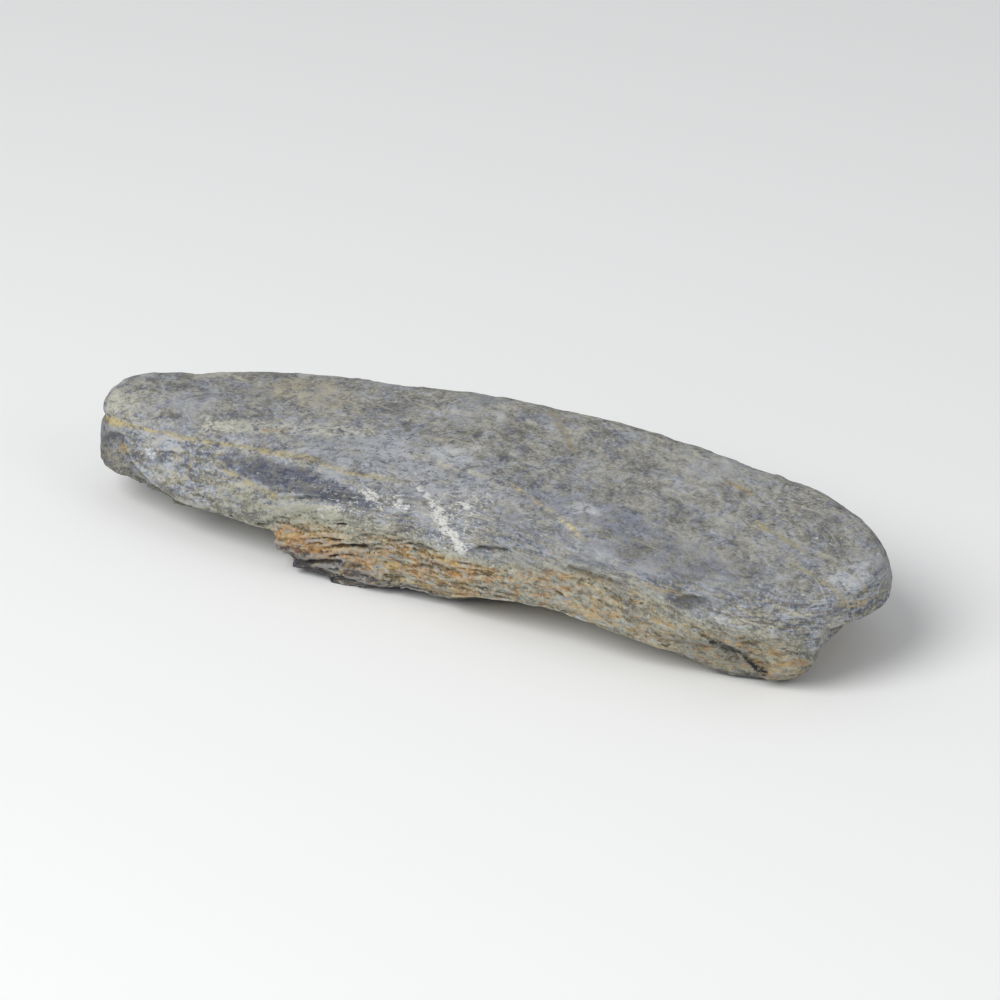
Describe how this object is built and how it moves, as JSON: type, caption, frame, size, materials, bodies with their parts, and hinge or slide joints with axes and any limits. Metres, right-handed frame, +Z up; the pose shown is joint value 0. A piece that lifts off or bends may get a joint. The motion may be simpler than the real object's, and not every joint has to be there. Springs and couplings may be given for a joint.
{
  "type": "aquascaping rock",
  "caption": "Long tumbled slate stone for an aquarium layout: a worn grey slab with a broken, rust-streaked lower edge, lying on a flat face.",
  "frame": {"origin": "on the flat resting face, under the middle of the stone's bounding box", "axes": "+X along the stone towards its blunt end, -Y towards its front side with the broken lower edge, +Z up"},
  "size_m": [0.24, 0.082, 0.034],
  "materials": {
    "slate": "matt tumbled slate, grey to blue-grey, with ochre and rust in its broken edges and thin pale calcite veins"
  },
  "bodies": {
    "root": {"slate_stone": "slate"}
  },
  "joints": []
}
